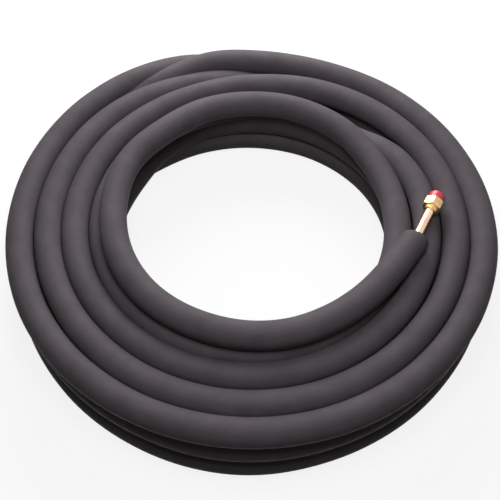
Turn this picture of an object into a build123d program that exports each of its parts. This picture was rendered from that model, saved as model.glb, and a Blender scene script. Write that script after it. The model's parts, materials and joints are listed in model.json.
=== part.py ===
from build123d import *
import os
from math import cos, radians, sin, tan

# Coil of lagged copper tube, lying flat. The origin is on the floor under the
# middle of the coil, Z is up, and the front of the coil is on the -Y side.

# Tube and its foam lagging
tube_od = 12.7
tube_wall = 0.8
sleeve_wall = 12.7
sleeve_fit = 0.2

# Coil: turns side by side in each layer, layers one on another
coil_od = 690
turns_across = 3
layers = 3
turn_squeeze = 0.9
layer_squeeze = 0.5
inner_squeeze = 12.5
top_squeeze = 2.4
foot_squash = 0.8
bore_shift_x = -1
bore_shift_y = 6.5

# Loose last turn, which climbs slowly out of the coil and lies on its inner turns
loop_inset = 18.5
loop_shift_x = 10.5
loop_shift_y = 3
loop_rise = 31.5
climb_widening = 3
climb_lean = 8
climb_angle = 100
climb_start = 130
tail_widening = 97
tail_turn = 28.5
tail_heading = 62.5

# Bare end of the tube, flared at 45 degrees under the nut
bare_length = 54
tube_insert = 38
flare_od = 16.4

# Flare nut
nut_flats = 23.8
nut_length = 20
nut_neck_length = 5.5
nut_neck_od = 18.5
nut_thread_bore = 17.6
nut_tube_fit = 0.15
nut_edge_angle = 27

# Plastic cap: a stem inside the nut and a round head outside it
cap_head_od = 24
cap_head_tip_od = 22.4
cap_length = 12
cap_stem = 8
cap_wall = 1.5
cap_fit = 0.15
cap_edge = 2

overrun = 5

# Sizes worked out from the ones above
sleeve_bore = tube_od + 2 * sleeve_fit
sleeve_od = sleeve_bore + 2 * sleeve_wall
sleeve_radius = sleeve_od / 2
turn_pitch = sleeve_od - turn_squeeze
layer_pitch = sleeve_od - layer_squeeze
outer_turn = coil_od / 2 - sleeve_radius
packed_turns = [outer_turn - turn_pitch * turn for turn in range(turns_across)]
inner_turn = packed_turns[-1] - (sleeve_od - inner_squeeze)
top_turn = packed_turns[-1] - (sleeve_od - top_squeeze)
body_inside = packed_turns[-1] - sleeve_radius
bore_outside = inner_turn + sleeve_radius
first_layer = sleeve_radius - foot_squash
layer_heights = [first_layer + layer_pitch * layer for layer in range(layers)]
bore_turns = [(inner_turn, height) for height in layer_heights[:-1]] + [(top_turn, layer_heights[-1])]
loop_height = layer_heights[-1] + loop_rise
loop_radius = inner_turn - loop_inset
climb_radius = loop_radius + climb_widening
tail_radius = loop_radius + tail_widening

# Route of the last turn: a leaning climb, a circle on top, then a wider bend out to the tail
tail_start = tail_heading - tail_turn - 90
loop_centre = Vector(loop_shift_x, loop_shift_y, loop_height)
tail_join = Vector(cos(radians(tail_start)), sin(radians(tail_start)), 0)
tail_centre = loop_centre - tail_join * tail_widening
tail_way = Vector(cos(radians(tail_heading)), sin(radians(tail_heading)), 0)
tail_side = Vector(sin(radians(tail_heading)), -cos(radians(tail_heading)), 0)
tail_end = tail_centre + tail_side * tail_radius
climb_out = Vector(cos(radians(climb_start)), sin(radians(climb_start)), 0)
climb_back = Vector(sin(radians(climb_start)), -cos(radians(climb_start)), 0)
climb_top = loop_centre + climb_out * loop_radius
climb_bend = climb_out * -cos(radians(climb_lean)) + Vector(0, 0, -sin(radians(climb_lean)))
climb_plane = Plane(origin=climb_top, x_dir=climb_back, z_dir=climb_back.cross(climb_bend))

# Axis of the bore, which is a little off the middle of the coil
bore_axis = Axis((bore_shift_x, bore_shift_y, 0), (0, 0, 1))
bore_section = Plane(origin=bore_axis.position, x_dir=(1, 0, 0), z_dir=(0, -1, 0))

# Planes along the bare end: sections through its axis, and flats across it
tail_axis = Axis(tail_end, tail_way)
tail_section = Plane(origin=tail_end, x_dir=tail_side, z_dir=tail_side.cross(tail_way))
tail_face = Plane(origin=tail_end, x_dir=tail_side, z_dir=tail_way)

# Stations along the bare end, measured from the cut face of the sleeve
tube_radius = tube_od / 2
tube_bore = tube_radius - tube_wall
flare_rise = flare_od / 2 - tube_radius
nut_start = bare_length
nut_end = nut_start + nut_length
nut_hole = tube_radius + nut_tube_fit
edge_reach = nut_flats / 2
edge_drop = edge_reach * tan(radians(nut_edge_angle))
seat_rise = nut_thread_bore / 2 - nut_hole
seat_start = nut_start + nut_neck_length
seat_end = seat_start + seat_rise
flare_start = seat_start + nut_tube_fit
flare_end = flare_start + flare_rise

# Foam sleeve: one turned body, scalloped by its turns on every face
with BuildPart() as foam_sleeve:
    with BuildSketch(Plane.XZ):
        with Locations([(radius, height) for radius in packed_turns for height in layer_heights]):
            Circle(sleeve_radius)
        with BuildLine():
            Polyline(
                (outer_turn, layer_heights[0]),
                (body_inside, layer_heights[0]),
                (body_inside, layer_heights[-1]),
                (outer_turn, layer_heights[-1]),
                close=True,
            )
        make_face()
        Rectangle(coil_od, overrun, align=(Align.MIN, Align.MAX), mode=Mode.SUBTRACT)
    revolve(axis=Axis.Z)
    with BuildSketch(bore_section):
        with Locations(bore_turns):
            Circle(sleeve_radius)
        with BuildLine():
            Polyline(
                *bore_turns,
                (bore_outside, layer_heights[-1]),
                (bore_outside, layer_heights[0]),
                close=True,
            )
        make_face()
        Rectangle(coil_od, overrun, align=(Align.MIN, Align.MAX), mode=Mode.SUBTRACT)
    revolve(axis=bore_axis)
    with BuildLine(climb_plane):
        JernArc((0, 0), (1, 0), climb_radius, climb_angle)
    with BuildLine(Plane.XY.offset(loop_height)):
        CenterArc((loop_centre.X, loop_centre.Y), loop_radius, climb_start, 360 + tail_start - climb_start)
        CenterArc((tail_centre.X, tail_centre.Y), tail_radius, tail_start, tail_turn)
    with BuildSketch(tail_face):
        Circle(sleeve_radius)
    sweep()
    with Locations(tail_face):
        Hole(sleeve_bore / 2, tube_insert)
foam_sleeve.part.label = "foam_sleeve"

# Copper tube: straight, pushed into the sleeve, with a 45 degree flare
with BuildPart() as copper_tube:
    with BuildSketch(tail_section):
        with BuildLine():
            Polyline(
                (tube_bore, -tube_insert),
                (tube_radius, -tube_insert),
                (tube_radius, flare_start),
                (tube_radius + flare_rise, flare_end),
                (tube_radius + flare_rise - tube_wall, flare_end + tube_wall),
                (tube_bore, flare_start + tube_wall),
                close=True,
            )
        make_face()
    revolve(axis=tail_axis)
copper_tube.part.label = "copper_tube"

# Flare nut: hexagon with turned-off corners, round neck, seat and thread bore
with BuildPart() as flare_nut:
    with BuildSketch(tail_face.offset(nut_start)):
        RegularPolygon(nut_flats / 2, 6, major_radius=False)
    extrude(amount=nut_length)
    with BuildSketch(tail_section):
        with BuildLine():
            Polyline(
                (nut_hole, nut_start),
                (nut_neck_od / 2, nut_start),
                (nut_neck_od / 2, nut_start + nut_neck_length),
                (nut_flats / 2, nut_start + nut_neck_length),
                (nut_flats / 2 + edge_reach, nut_start + nut_neck_length + edge_drop),
                (nut_flats / 2 + edge_reach, nut_end - edge_drop),
                (nut_flats / 2, nut_end),
                (nut_thread_bore / 2, nut_end),
                (nut_thread_bore / 2, seat_end),
                (nut_hole, seat_start),
                close=True,
            )
        make_face()
    revolve(axis=tail_axis, mode=Mode.INTERSECT)
flare_nut.part.label = "flare_nut"

# End cap: hollow stem in the nut, and a closed head that tapers a little
with BuildPart() as end_cap:
    with BuildSketch(tail_section):
        with BuildLine():
            Polyline(
                (nut_thread_bore / 2 - cap_fit - cap_wall, nut_end - cap_stem),
                (nut_thread_bore / 2 - cap_fit, nut_end - cap_stem),
                (nut_thread_bore / 2 - cap_fit, nut_end),
                (cap_head_od / 2, nut_end),
                (cap_head_tip_od / 2, nut_end + cap_length),
                (0, nut_end + cap_length),
                (0, nut_end + cap_length - cap_wall),
                (nut_thread_bore / 2 - cap_fit - cap_wall, nut_end + cap_length - cap_wall),
                close=True,
            )
        make_face()
    revolve(axis=tail_axis)
    fillet(end_cap.edges().filter_by(GeomType.CIRCLE).sort_by(tail_axis)[-1], cap_edge)
end_cap.part.label = "end_cap"

os.makedirs("parts", exist_ok=True)
export_step(foam_sleeve.part, "parts/foam_sleeve.step")
export_step(copper_tube.part, "parts/copper_tube.step")
export_step(flare_nut.part, "parts/flare_nut.step")
export_step(end_cap.part, "parts/end_cap.step")
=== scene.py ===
import json
import math

import bmesh
import bpy
import numpy as np
from mathutils import Matrix, Vector


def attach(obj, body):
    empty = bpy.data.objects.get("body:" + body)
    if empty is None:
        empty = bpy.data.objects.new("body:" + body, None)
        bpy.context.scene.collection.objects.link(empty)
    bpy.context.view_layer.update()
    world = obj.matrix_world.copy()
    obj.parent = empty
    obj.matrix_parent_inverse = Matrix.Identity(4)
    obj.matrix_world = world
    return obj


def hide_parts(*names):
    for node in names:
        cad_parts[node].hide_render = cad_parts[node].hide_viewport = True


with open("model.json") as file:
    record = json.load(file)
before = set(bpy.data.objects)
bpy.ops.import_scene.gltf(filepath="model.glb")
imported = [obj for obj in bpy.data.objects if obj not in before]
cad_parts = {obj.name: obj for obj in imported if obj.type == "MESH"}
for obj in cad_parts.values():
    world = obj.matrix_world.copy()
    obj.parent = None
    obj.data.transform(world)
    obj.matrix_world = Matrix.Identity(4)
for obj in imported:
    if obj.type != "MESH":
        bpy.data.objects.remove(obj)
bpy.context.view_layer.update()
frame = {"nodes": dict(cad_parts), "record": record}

# Coil of lagged copper tube. Metres and degrees, same frame as the solids:
# near side is -Y, the bare tube end is on the right (+X).
scene = bpy.context.scene
mounts = {mount["name"]: mount for mount in frame["record"]["mounts"]}
print("frame loaded:", sorted(frame["nodes"]))


# small helpers

def linkMesh(name, verts, faces):
    mesh = bpy.data.meshes.new(name)
    mesh.from_pydata([tuple(v) for v in verts], [], faces)
    mesh.update()
    obj = bpy.data.objects.new(name, mesh)
    scene.collection.objects.link(obj)
    return obj


def cleanNormals(obj, mergeDistance=0.0):
    bm = bmesh.new()
    bm.from_mesh(obj.data)
    if mergeDistance:
        bmesh.ops.remove_doubles(bm, verts=bm.verts, dist=mergeDistance)
    bmesh.ops.recalc_face_normals(bm, faces=bm.faces)
    bm.to_mesh(obj.data)
    bm.free()


def newMaterial(name):
    mat = bpy.data.materials.new(name)
    mat.use_nodes = True
    nodes = mat.node_tree.nodes
    return mat, nodes, mat.node_tree.links, nodes["Principled BSDF"]


def noiseNode(nodes, links, coord, scale, detail, roughness=0.55):
    noise = nodes.new("ShaderNodeTexNoise")
    noise.inputs["Scale"].default_value = scale
    noise.inputs["Detail"].default_value = detail
    noise.inputs["Roughness"].default_value = roughness
    links.new(coord, noise.inputs["Vector"])
    return noise


def rampNode(nodes, links, value, stops):
    ramp = nodes.new("ShaderNodeValToRGB")
    ramp.color_ramp.elements[0].position = stops[0][0]
    ramp.color_ramp.elements[0].color = (*stops[0][1], 1)
    ramp.color_ramp.elements[1].position = stops[-1][0]
    ramp.color_ramp.elements[1].color = (*stops[-1][1], 1)
    for place, colour in stops[1:-1]:
        ramp.color_ramp.elements.new(place).color = (*colour, 1)
    links.new(value, ramp.inputs["Fac"])
    return ramp


def rangeNode(nodes, links, value, low, high):
    spread = nodes.new("ShaderNodeMapRange")
    spread.inputs["From Min"].default_value = 0.3
    spread.inputs["From Max"].default_value = 0.7
    spread.inputs["To Min"].default_value = low
    spread.inputs["To Max"].default_value = high
    links.new(value, spread.inputs["Value"])
    return spread


def bumpNode(nodes, links, height, strength, distance, below=None):
    bump = nodes.new("ShaderNodeBump")
    bump.inputs["Strength"].default_value = strength
    bump.inputs["Distance"].default_value = distance
    links.new(height, bump.inputs["Height"])
    if below is not None:
        links.new(below.outputs["Normal"], bump.inputs["Normal"])
    return bump


def stretchedCoord(nodes, links, scale):
    coord = nodes.new("ShaderNodeTexCoord")
    mapping = nodes.new("ShaderNodeMapping")
    mapping.inputs["Scale"].default_value = scale
    links.new(coord.outputs["Object"], mapping.inputs["Vector"])
    return mapping.outputs["Vector"]


# finishes

def makeFoamSkin():
    mat, nodes, links, shader = newMaterial("foamSkin")
    coord = nodes.new("ShaderNodeTexCoord").outputs["Object"]
    clouds = noiseNode(nodes, links, coord, 34, 5)
    tone = rampNode(nodes, links, clouds.outputs["Fac"],
                    [(0.30, (0.076, 0.066, 0.0735)),
                     (0.52, (0.086, 0.075, 0.0835)),
                     (0.74, (0.097, 0.0845, 0.0945))])
    links.new(tone.outputs["Color"], shader.inputs["Base Color"])
    dull = noiseNode(nodes, links, coord, 90, 3)
    rough = rangeNode(nodes, links, dull.outputs["Fac"], 0.54, 0.64)
    links.new(rough.outputs["Result"], shader.inputs["Roughness"])
    dimple = noiseNode(nodes, links, coord, 130, 3)
    grain = noiseNode(nodes, links, coord, 900, 4, 0.65)
    soft = bumpNode(nodes, links, dimple.outputs["Fac"], 0.35, 0.0012)
    fine = bumpNode(nodes, links, grain.outputs["Fac"], 0.30, 0.0005, soft)
    links.new(fine.outputs["Normal"], shader.inputs["Normal"])
    shader.inputs["Specular IOR Level"].default_value = 0.05
    return mat


def makeCutFoam():
    mat, nodes, links, shader = newMaterial("cutFoam")
    coord = nodes.new("ShaderNodeTexCoord").outputs["Object"]
    cells = nodes.new("ShaderNodeTexVoronoi")
    cells.inputs["Scale"].default_value = 850
    links.new(coord, cells.inputs["Vector"])
    # darker towards each cell's middle, where the bump below sinks it into a pit: painted shade in the
    # cell pits, over the cut foam's own lighter grey
    tone = rampNode(nodes, links, cells.outputs["Distance"],
                    [(0.0, (0.050, 0.046, 0.050)), (0.7, (0.120, 0.112, 0.118))])
    links.new(tone.outputs["Color"], shader.inputs["Base Color"])
    shader.inputs["Roughness"].default_value = 0.85
    pits = bumpNode(nodes, links, cells.outputs["Distance"], 0.7, 0.0006)
    links.new(pits.outputs["Normal"], shader.inputs["Normal"])
    return mat


def makeBrightCopper():
    mat, nodes, links, shader = newMaterial("brightCopper")
    drawn = noiseNode(nodes, links, stretchedCoord(nodes, links, (900, 900, 14)), 1, 4)
    stain = noiseNode(nodes, links, stretchedCoord(nodes, links, (60, 60, 45)), 1, 3)
    tone = rampNode(nodes, links, stain.outputs["Fac"],
                    [(0.30, (0.80, 0.50, 0.32)), (0.60, (0.93, 0.66, 0.45)), (0.78, (0.95, 0.73, 0.52))])
    links.new(tone.outputs["Color"], shader.inputs["Base Color"])
    rough = rangeNode(nodes, links, drawn.outputs["Fac"], 0.20, 0.34)
    links.new(rough.outputs["Result"], shader.inputs["Roughness"])
    lines = bumpNode(nodes, links, drawn.outputs["Fac"], 0.12, 0.0002)
    links.new(lines.outputs["Normal"], shader.inputs["Normal"])
    shader.inputs["Metallic"].default_value = 1.0
    return mat


def makeTurnedBrass():
    mat, nodes, links, shader = newMaterial("turnedBrass")
    turned = noiseNode(nodes, links, stretchedCoord(nodes, links, (40, 40, 1600)), 1, 2)
    stain = noiseNode(nodes, links, stretchedCoord(nodes, links, (110, 110, 110)), 1, 4)
    tone = rampNode(nodes, links, stain.outputs["Fac"],
                    [(0.28, (0.50, 0.31, 0.13)), (0.55, (0.68, 0.46, 0.22)), (0.80, (0.78, 0.56, 0.30))])
    links.new(tone.outputs["Color"], shader.inputs["Base Color"])
    rough = rangeNode(nodes, links, stain.outputs["Fac"], 0.28, 0.42)
    links.new(rough.outputs["Result"], shader.inputs["Roughness"])
    rings = bumpNode(nodes, links, turned.outputs["Fac"], 0.15, 0.0002)
    links.new(rings.outputs["Normal"], shader.inputs["Normal"])
    shader.inputs["Metallic"].default_value = 1.0
    return mat


def makeRedPlastic():
    mat, nodes, links, shader = newMaterial("redPlastic")
    coord = nodes.new("ShaderNodeTexCoord").outputs["Object"]
    haze = noiseNode(nodes, links, coord, 160, 3)
    tone = rampNode(nodes, links, haze.outputs["Fac"],
                    [(0.30, (0.50, 0.018, 0.035)), (0.72, (0.66, 0.035, 0.060))])
    links.new(tone.outputs["Color"], shader.inputs["Base Color"])
    rough = rangeNode(nodes, links, haze.outputs["Fac"], 0.26, 0.38)
    links.new(rough.outputs["Result"], shader.inputs["Roughness"])
    grain = noiseNode(nodes, links, coord, 1400, 2)
    orange = bumpNode(nodes, links, grain.outputs["Fac"], 0.10, 0.0002)
    links.new(orange.outputs["Normal"], shader.inputs["Normal"])
    shader.inputs["Subsurface Weight"].default_value = 0.12
    shader.inputs["Subsurface Scale"].default_value = 0.002
    return mat


foamSkin = makeFoamSkin()
cutFoam = makeCutFoam()
brightCopper = makeBrightCopper()
turnedBrass = makeTurnedBrass()
redPlastic = makeRedPlastic()
print("finishes mixed")


# camera, at the photo's angle

camera = {
    "elevation": 55.17,
    "distance": 1.252,
    "lookAt": (-0.001, -0.013, 0.0374),
    "lens": 60.85,
    "sensor": 36.0,
}


def addCamera():
    data = bpy.data.cameras.new("camera")
    data.lens = camera["lens"]
    data.sensor_width = camera["sensor"]
    obj = bpy.data.objects.new("camera", data)
    tilt = math.radians(camera["elevation"])
    back = Vector((0, -math.cos(tilt), math.sin(tilt)))
    obj.location = Vector(camera["lookAt"]) + back * camera["distance"]
    obj.rotation_euler = (-back).to_track_quat("-Z", "Y").to_euler()
    scene.collection.objects.link(obj)
    scene.camera = obj


addCamera()
print("camera set")


# the bare end: where the solids put it

bareEnd = {
    "nutLength": 0.020,
    "bareLength": 0.054,
}
tailWay = Vector(mounts["flare_end"]["axis"]).normalized()
nutMouth = Vector(mounts["flare_end"]["pos_m"])
nutStart = nutMouth - tailWay * bareEnd["nutLength"]
sleeveEnd = nutStart - tailWay * bareEnd["bareLength"]


def alongTail(origin):
    side = tailWay.cross(Vector((0, 0, 1))).normalized()
    lift = side.cross(tailWay)
    turn = Matrix((side, lift, -tailWay)).transposed().to_4x4() @ Matrix.Rotation(math.pi, 4, "X")
    return Matrix.Translation(origin) @ turn


# foam sleeve: one long tube, wound from the visible end back to the hidden one

winding = {
    "width": 0.0385,
    "bore": 0.0131,
    "layers": (0.0185, 0.0575, 0.0965),
    "closest": 0.0365,     # middle to middle where turns press on each other
    "step": 2.0,           # degrees from one ring of the mesh to the next
    "sides": 28,
    "wobble": 0.0007,
    "wobbleWaves": (1.3, 2.1, 3.7, 5.3),   # per turn
    "unevenness": 0.0003,
    "swellWaves": (9, 17, 31, 53),         # radians per metre of sleeve
    "footSquash": 0.0008,
    "tailAhead": (0.045, 0.022, 0.0),      # where the tail would run on, for its direction
    "tailEase": 60,        # degrees over which the wobble sets in
    "cutShort": 10,        # degrees before the last key, where the sleeve is cut
    "buried": ((-1370, -1630), (-2090, -3440)),    # out of sight, free to settle
    "seenGive": 0.02,      # how far the other turns give way
    "settleRounds": 120,
    "push": 0.35,          # share of an overlap undone in each round
    "pullBack": 0.04,      # back towards the keys
    "smoothing": 0.25,
    "boreDepth": 0.03,     # of the hole in each cut end
    "edgeShare": 0.02,     # rounding of the cut edges, of the width
    "seed": 7,
}
bottom, middle, upper = winding["layers"]

# (azimuth, distance from the axis, height); azimuth runs backwards from the end:
# 0 right, -90 near, -180 left, -270 far, and so on, one turn after another
keys = [
    # last turn, lying loose on the others
    (-20, 0.2245, 0.1259), (-30, 0.2165, 0.1257), (-44, 0.2110, 0.1254), (-60, 0.2085, 0.1252),
    (-75, 0.2075, 0.1250), (-90, 0.2050, 0.1250), (-110, 0.2005, 0.1250), (-135, 0.1980, 0.1250),
    (-160, 0.1945, 0.1250), (-180, 0.1925, 0.1250), (-205, 0.1960, 0.1250), (-230, 0.1945, 0.1245),
    (-250, 0.2035, 0.1205), (-270, 0.2110, 0.1150), (-291, 0.2156, 0.1100), (-313, 0.2165, 0.1020),
    (-333, 0.2115, 0.0968), (-360, 0.2095, upper),
    # the turn below it, which ends up outside it on the right
    (-400, 0.2115, 0.0945), (-450, 0.2150, 0.0925), (-540, 0.2132, 0.0925), (-580, 0.2165, 0.0925),
    (-605, 0.2250, 0.0880), (-630, 0.2360, 0.0790), (-655, 0.2340, 0.0760), (-668, 0.2310, 0.0770),
    (-676, 0.2325, 0.0815), (-684, 0.2385, 0.0890), (-692, 0.2450, 0.0945), (-705, 0.2505, upper),
    (-720, 0.2510, upper),
    # third ring
    (-765, 0.2500, upper), (-810, 0.2506, upper), (-900, 0.2506, upper), (-935, 0.2540, upper),
    (-960, 0.2575, upper), (-975, 0.2605, upper), (-990, 0.2660, upper), (-1012, 0.2765, upper),
    (-1036, 0.2855, upper), (-1080, 0.2920, upper),
    # second ring, which sinks between its neighbours at the far side
    (-1125, 0.2895, upper), (-1170, 0.2883, upper), (-1260, 0.2883, upper), (-1300, 0.2945, 0.0960),
    (-1322, 0.2985, 0.0885), (-1343, 0.2975, 0.0797), (-1355, 0.2970, 0.0690), (-1395, 0.2930, 0.0590),
    # round below, and up again at the far left between the two outer turns
    (-1440, 0.2900, middle), (-1530, 0.2885, middle), (-1600, 0.2895, middle), (-1640, 0.2980, 0.0590),
    (-1660, 0.3060, 0.0640), (-1669, 0.3180, 0.0760), (-1676, 0.3240, 0.0855), (-1684, 0.3238, 0.0888),
    (-1690, 0.3255, 0.0910), (-1695, 0.3285, 0.0925), (-1700, 0.3295, 0.0935), (-1710, 0.3270, 0.0940),
    (-1730, 0.3215, 0.0960),
    # outer ring, which slips down behind it
    (-1755, 0.3255, upper), (-1800, 0.3290, upper), (-1845, 0.3275, upper), (-1890, 0.3259, upper),
    (-1945, 0.3260, upper), (-1980, 0.3280, upper), (-2010, 0.3345, upper), (-2027, 0.3372, 0.0960),
    (-2038, 0.3362, 0.0930), (-2048, 0.3378, 0.0890), (-2055, 0.3380, 0.0845), (-2062, 0.3365, 0.0760),
    (-2070, 0.3340, 0.0660), (-2090, 0.3300, middle),
    # outer turn of the middle layer, then of the bottom one
    (-2160, 0.3280, middle), (-2210, 0.3215, middle), (-2250, 0.3265, middle), (-2300, 0.3195, middle),
    (-2340, 0.3250, 0.0560), (-2385, 0.3270, 0.0400), (-2430, 0.3260, 0.0195), (-2520, 0.3280, bottom),
    (-2570, 0.3205, bottom), (-2610, 0.3290, bottom), (-2660, 0.3195, bottom), (-2700, 0.3235, bottom),
    (-2745, 0.3080, bottom),
    # bottom layer, turn by turn towards the bore
    (-2790, 0.2925, bottom), (-2880, 0.2905, bottom), (-2970, 0.2890, bottom), (-3060, 0.2880, bottom),
    (-3105, 0.2740, bottom), (-3150, 0.2600, bottom), (-3240, 0.2540, bottom), (-3330, 0.2520, bottom),
    (-3420, 0.2505, bottom), (-3450, 0.2440, bottom), (-3470, 0.2365, bottom), (-3490, 0.2335, bottom),
    (-3510, 0.2305, bottom), (-3555, 0.2305, bottom), (-3590, 0.2270, bottom), (-3610, 0.2215, bottom),
    (-3690, 0.2165, bottom), (-3780, 0.2180, bottom),
    # innermost turn of the middle layer, where the tube began
    (-3810, 0.2290, 0.0210), (-3840, 0.2345, 0.0420), (-3870, 0.2330, 0.0545), (-3915, 0.2290, middle),
    (-3960, 0.2225, middle), (-4040, 0.2165, middle), (-4060, 0.2165, middle), (-4070, 0.2165, middle),
]


def tailKeys():
    spots = [sleeveEnd + tailWay * ahead for ahead in winding["tailAhead"]]
    return [(math.degrees(math.atan2(spot.y, spot.x)), spot.xy.length, spot.z) for spot in spots]


def smoothThrough(keys, places):
    # cubic through the keys, slopes from the neighbours
    at = np.array([-key[0] for key in keys])
    columns = []
    for column in (1, 2):
        value = np.array([key[column] for key in keys])
        slope = np.gradient(value, at)
        spot = np.clip(np.searchsorted(at, -places) - 1, 0, len(at) - 2)
        span = at[spot + 1] - at[spot]
        t = (-places - at[spot]) / span
        leaving = (2 * t**3 - 3 * t**2 + 1) * value[spot] + (t**3 - 2 * t**2 + t) * span * slope[spot]
        coming = (3 * t**2 - 2 * t**3) * value[spot + 1] + (t**3 - t**2) * span * slope[spot + 1]
        columns.append(leaving + coming)
    return columns


def settle(radius, height, loose):
    # turns that press into each other are pushed apart, a little at a time
    perTurn = int(360 / winding["step"])
    restRadius, restHeight = radius.copy(), height.copy()
    floorHeight = winding["width"] / 2 - winding["footSquash"]
    for _ in range(winding["settleRounds"]):
        moveRadius, moveHeight = np.zeros_like(radius), np.zeros_like(height)
        for lag in range(perTurn, len(radius), perTurn):
            acrossGap = radius[lag:] - radius[:-lag]
            upGap = height[lag:] - height[:-lag]
            gap = np.hypot(acrossGap, upGap) + 1e-9
            push = np.clip(winding["closest"] - gap, 0, None) * winding["push"]
            moveRadius[lag:] += push * acrossGap / gap
            moveHeight[lag:] += push * upGap / gap
            moveRadius[:-lag] -= push * acrossGap / gap
            moveHeight[:-lag] -= push * upGap / gap
        radius = radius + moveRadius * loose + (restRadius - radius) * winding["pullBack"]
        height = height + moveHeight * loose + (restHeight - height) * winding["pullBack"]
        for line in (radius, height):
            bend = line[2:] + line[:-2] - 2 * line[1:-1]
            line[1:-1] += winding["smoothing"] * loose[1:-1] * bend
        height = np.maximum(height, floorHeight)
    return radius, height


def windSleeve():
    ends = tailKeys()
    first, last = ends[-1][0], keys[-1][0] + winding["cutShort"]
    places = np.arange(first, last, -winding["step"])
    radius, height = smoothThrough(ends + keys, places)
    draw = np.random.default_rng(winding["seed"])
    ease = np.clip((first - places) / winding["tailEase"], 0, 1)      # 0 at the tail, which stays put
    buried = np.zeros(len(places), dtype=bool)
    for start, end in winding["buried"]:
        buried |= (places < start) & (places > end)
    loose = ease * np.where(buried, 1.0, winding["seenGive"])
    for wave in winding["wobbleWaves"]:
        phase = draw.uniform(0, 2 * math.pi, 2)
        radius = radius + ease * winding["wobble"] / wave * np.sin(np.radians(places) * wave + phase[0])
        height = height + ease * winding["wobble"] / wave * np.sin(np.radians(places) * wave + phase[1])
    radius, height = settle(radius, height, loose)
    turn = np.radians(places)
    return np.stack([radius * np.cos(turn), radius * np.sin(turn), height], axis=1)


def frameAlong(route):
    way = np.gradient(route, axis=0)
    way /= np.linalg.norm(way, axis=1)[:, None]
    way[0] = -np.array(tailWay)
    side = np.cross(way, (0, 0, 1))
    side /= np.linalg.norm(side, axis=1)[:, None]
    lift = np.cross(side, way)
    return way, side, lift


def addSleeve(route):
    way, side, lift = frameAlong(route)
    sides = winding["sides"]
    around = np.arange(sides) * 2 * math.pi / sides
    run = np.concatenate([[0], np.cumsum(np.linalg.norm(np.diff(route, axis=0), axis=1))])
    draw = np.random.default_rng(winding["seed"] + 1)
    swell = np.zeros((len(route), sides))
    for wave in winding["swellWaves"]:
        phase = draw.uniform(0, 2 * math.pi, 2)
        swell += np.sin(run[:, None] * wave + phase[0] + 2 * np.sin(around[None] + phase[1])) / 4
    skin, bore = winding["width"] / 2, winding["bore"] / 2
    half = skin + winding["unevenness"] * swell
    trim = winding["width"] * winding["edgeShare"]
    # cut face, from the bore's depth out to the skin: (distance from the middle, set back)
    cut = [(bore, winding["boreDepth"]), (bore, trim), (bore + trim, 0),
           (skin - 1.5 * trim, 0), (skin - 0.5 * trim, 0.3 * trim)]
    rings = []
    for distance, back in cut:
        rings.append((0, np.full(sides, distance), back))
    for spot in range(len(route)):
        rings.append((spot, half[spot], trim if spot == 0 else 0))
    for distance, back in reversed(cut):
        rings.append((len(route) - 1, np.full(sides, distance), -back))
    verts = []
    for spot, distance, back in rings:
        ring = route[spot] + way[spot] * back + distance[:, None] * (
            np.cos(around)[:, None] * side[spot] + np.sin(around)[:, None] * lift[spot])
        ring[:, 2] = np.maximum(ring[:, 2], 0)      # foam lies flat on the floor
        verts.extend(ring)
    faces = []
    for low in range(len(rings) - 1):
        near, far = low * sides, (low + 1) * sides
        for k in range(sides):
            after = (k + 1) % sides
            faces.append((near + k, near + after, far + after, far + k))
    faces.append(tuple(range(sides)))
    faces.append(tuple(range((len(rings) - 1) * sides, len(rings) * sides)))
    obj = linkMesh("foamSleeve", verts, faces)
    obj.data.materials.append(foamSkin)
    obj.data.materials.append(cutFoam)
    edgeRings = len(cut)
    for poly in obj.data.polygons:
        low = poly.index // sides
        poly.use_smooth = True
        if low < edgeRings - 1 or low > len(rings) - edgeRings - 1:
            poly.material_index = 1
    cleanNormals(obj)
    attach(obj, "root")
    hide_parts("foam_sleeve")
    turns = len(route) * winding["step"] / 360
    print("sleeve wound:", round(run[-1], 2), "m in", round(turns, 1), "turns")


route = windSleeve()
addSleeve(route)


# turned pieces on the bare end

def lathe(name, profile, steps, place, finish, limit=None):
    # profile is a closed loop of (distance from the axis, place along it)
    verts, faces = [], []
    for distance, along in profile:
        for k in range(steps):
            angle = 2 * math.pi * k / steps
            reach = distance if limit is None else min(distance, limit(angle, distance))
            verts.append((reach * math.cos(angle), reach * math.sin(angle), along))
    count = len(profile)
    for low in range(count):
        high = (low + 1) % count
        if profile[low][0] == 0 and profile[high][0] == 0:
            continue
        for k in range(steps):
            after = (k + 1) % steps
            faces.append((low * steps + k, low * steps + after, high * steps + after, high * steps + k))
    obj = linkMesh(name, verts, faces)
    cleanNormals(obj, 1e-6)
    for poly in obj.data.polygons:
        poly.use_smooth = True
    obj.data.materials.append(finish)
    obj.matrix_world = place
    return obj


def softenEdges(obj, width, angle=28):
    bevel = obj.modifiers.new("edges", "BEVEL")
    bevel.width = width
    bevel.segments = 3
    bevel.limit_method = "ANGLE"
    bevel.angle_limit = math.radians(angle)
    smooth = obj.modifiers.new("shading", "WEIGHTED_NORMAL")
    smooth.keep_sharp = True


tube = {
    "od": 0.0127,
    "wall": 0.0008,
    "insert": 0.030,
    "bands": (0.0, 0.02, 0.045),     # rings of the mesh along the bare part
    "flare": 0.0164,
    "seatGap": 0.00015,
    "softEdge": 0.0002,
}


def addTube():
    outer, inner = tube["od"] / 2, tube["od"] / 2 - tube["wall"]
    flareAt = bareEnd["bareLength"] + nut["neck"] + tube["seatGap"]
    lip = tube["flare"] / 2
    profile = [(outer, along) for along in (-tube["insert"], *tube["bands"], flareAt)]
    profile += [(lip, flareAt + lip - outer), (lip - tube["wall"], flareAt + lip - outer + tube["wall"]),
                (inner, flareAt + tube["wall"]), (inner, -tube["insert"])]
    obj = lathe("copperTube", profile, 64, alongTail(sleeveEnd), brightCopper)
    softenEdges(obj, tube["softEdge"])
    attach(obj, "root")
    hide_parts("copper_tube")


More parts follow.
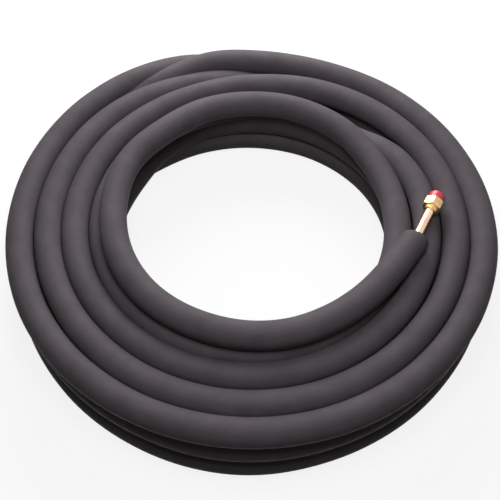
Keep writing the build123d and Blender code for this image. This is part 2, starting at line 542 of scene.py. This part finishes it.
nut = {
    "flats": 0.0238,
    "neckOd": 0.0185,
    "neck": 0.0055,
    "bore": 0.0176,
    "tubeHole": 0.0130,
    "edgeAngle": 27,
    "neckChamfer": 0.0012,
    "chamfer": 0.0008,
    "softEdge": 0.0003,
}


def addNut():
    length, flat = bareEnd["nutLength"], nut["flats"] / 2
    corner = flat / math.cos(math.radians(30))
    drop = (corner - flat) * math.tan(math.radians(nut["edgeAngle"]))
    neck, neckOd = nut["neck"], nut["neckOd"] / 2
    bore, hole = nut["bore"] / 2, nut["tubeHole"] / 2
    neckChamfer, chamfer = nut["neckChamfer"], nut["chamfer"]
    profile = [(hole, 0.0), (neckOd - neckChamfer, 0.0), (neckOd, neckChamfer),
               (neckOd, neck - chamfer), (neckOd + chamfer, neck)]
    for share in (0.0, 0.25, 0.5, 0.75, 1.0):
        profile.append((flat + (corner - flat) * share, neck + drop * share))
    profile.append((corner, (neck + length) / 2))
    for share in (1.0, 0.75, 0.5, 0.25, 0.0):
        profile.append((flat + (corner - flat) * share, length - drop * share))
    profile += [(bore + chamfer, length), (bore, length - chamfer),
                (bore, neck + bore - hole), (hole, neck)]

    def hexLimit(angle, distance):
        if distance < flat:
            return distance
        return flat / math.cos((angle + math.pi / 6) % (math.pi / 3) - math.pi / 6)

    obj = lathe("flareNut", profile, 144, alongTail(nutStart), turnedBrass, hexLimit)
    softenEdges(obj, nut["softEdge"])
    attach(obj, "root")
    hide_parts("flare_nut")


cap = {
    "headOd": 0.024,
    "tipOd": 0.0224,
    "length": 0.012,
    "rim": 0.002,
    "foot": 0.0006,
    "stem": 0.008,
    "stemOd": 0.0173,
    "wall": 0.0015,
    "softEdge": 0.0003,
}


def addCap():
    head, tip, rim, foot = cap["headOd"] / 2, cap["tipOd"] / 2, cap["rim"], cap["foot"]
    stem, length, wall = cap["stemOd"] / 2, cap["length"], cap["wall"]
    profile = [(stem - wall, -cap["stem"]), (stem, -cap["stem"]), (stem, 0.0),
               (head - foot, 0.0), (head, foot)]
    for step in range(7):      # rounded rim
        turn = math.radians(15 * step)
        profile.append((tip - rim + rim * math.cos(turn), length - rim + rim * math.sin(turn)))
    profile += [(0, length), (0, length - wall), (stem - wall, length - wall)]
    obj = lathe("endCap", profile, 72, alongTail(nutMouth), redPlastic)
    softenEdges(obj, cap["softEdge"])
    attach(obj, "root")
    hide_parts("end_cap")


addTube()
addNut()
addCap()
print("bare end fitted")


# the tube's other end, cut off plainly inside the bore

otherEnd = {
    "inside": 0.028,       # reach into the sleeve
    "outside": 0.002,
    "depth": 0.026,        # its hole ends here, out of sight
}


def addOtherEnd(route):
    way = Vector(route[-1] - route[-2]).normalized()
    place = Matrix.Translation(route[-1]) @ way.to_track_quat("Z", "Y").to_matrix().to_4x4()
    outer, inner = tube["od"] / 2, tube["od"] / 2 - tube["wall"]
    inside, outside, depth = otherEnd["inside"], otherEnd["outside"], otherEnd["depth"]
    profile = [(outer, -inside), (outer, outside), (inner, outside),
               (inner, -depth), (0, -depth), (0, -inside)]
    obj = lathe("otherTubeEnd", profile, 48, place, brightCopper)
    softenEdges(obj, tube["softEdge"])
    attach(obj, "root")


addOtherEnd(route)
print("other end fitted")


# floor and light

stage = {
    "floor": 12.0,
    "floorSeen": 0.94,         # to the camera and in reflections
    "floorBounce": 0.05,       # to everything else
    "floorGlow": 0.86,         # share of it that glows under the coil, the rest takes the shadow
    "fadeFrom": 0.45,          # between these distances it fades to plain white
    "fadeTo": 1.60,
    "skyStrength": 0.06,
    # softboxes: (name, place, size, power)
    "softboxes": [
        ("overhead", (0.00, -0.28, 1.00), 0.4, 4.8),
        ("behind", (-0.05, 0.95, 0.72), 0.8, 19.5),
    ],
    "aim": (0.0, 0.0, 0.08),
}


def seenDirectly(nodes, links):
    # 1 for what the camera sees itself or in a mirror or glass
    path = nodes.new("ShaderNodeLightPath")
    seen = path.outputs["Is Camera Ray"]
    for kind in ("Is Glossy Ray", "Is Transmission Ray"):
        either = nodes.new("ShaderNodeMath")
        either.operation = "MAXIMUM"
        links.new(seen, either.inputs[0])
        links.new(path.outputs[kind], either.inputs[1])
        seen = either.outputs["Value"]
    return seen


def addFloor():
    half = stage["floor"] / 2
    corners = [(-half, -half, 0), (half, -half, 0), (half, half, 0), (-half, half, 0)]
    floor = linkMesh("floor", corners, [(0, 1, 2, 3)])
    mat, nodes, links, shader = newMaterial("paleFloor")
    shader.inputs["Base Color"].default_value = (stage["floorBounce"],) * 3 + (1,)
    shader.inputs["Roughness"].default_value = 0.9
    shader.inputs["Specular IOR Level"].default_value = 0.0
    white = nodes.new("ShaderNodeBsdfDiffuse")
    white.inputs["Color"].default_value = (stage["floorSeen"],) * 3 + (1,)
    glow = nodes.new("ShaderNodeEmission")
    pale = nodes.new("ShaderNodeMixShader")
    coord = nodes.new("ShaderNodeTexCoord")
    reach = nodes.new("ShaderNodeVectorMath")
    reach.operation = "LENGTH"
    links.new(coord.outputs["Object"], reach.inputs[0])
    fade = nodes.new("ShaderNodeMapRange")
    fade.inputs["From Min"].default_value = stage["fadeFrom"]
    fade.inputs["From Max"].default_value = stage["fadeTo"]
    fade.inputs["To Min"].default_value = stage["floorGlow"]
    fade.inputs["To Max"].default_value = 1.0
    links.new(reach.outputs["Value"], fade.inputs["Value"])
    links.new(fade.outputs["Result"], pale.inputs["Fac"])
    links.new(white.outputs["BSDF"], pale.inputs[1])
    links.new(glow.outputs["Emission"], pale.inputs[2])
    mix = nodes.new("ShaderNodeMixShader")
    links.new(seenDirectly(nodes, links), mix.inputs["Fac"])
    links.new(shader.outputs["BSDF"], mix.inputs[1])
    links.new(pale.outputs["Shader"], mix.inputs[2])
    links.new(mix.outputs["Shader"], nodes["Material Output"].inputs["Surface"])
    floor.data.materials.append(mat)


def addLight():
    world = bpy.data.worlds.new("studio")
    world.use_nodes = True
    nodes, links = world.node_tree.nodes, world.node_tree.links
    sky = nodes["Background"]
    sky.inputs["Color"].default_value = (1, 1, 1, 1)
    shown = nodes.new("ShaderNodeMapRange")
    shown.inputs["To Min"].default_value = stage["skyStrength"]
    shown.inputs["To Max"].default_value = 1.0
    links.new(seenDirectly(nodes, links), shown.inputs["Value"])
    links.new(shown.outputs["Result"], sky.inputs["Strength"])
    scene.world = world
    for name, place, size, power in stage["softboxes"]:
        data = bpy.data.lights.new(name, "AREA")
        data.energy = power
        data.size = size
        box = bpy.data.objects.new(name, data)
        box.location = place
        shine = Vector(stage["aim"]) - Vector(place)
        box.rotation_euler = shine.to_track_quat("-Z", "Y").to_euler()
        scene.collection.objects.link(box)
    scene.view_settings.view_transform = "Standard"


addFloor()
addLight()
print("floor and light set")
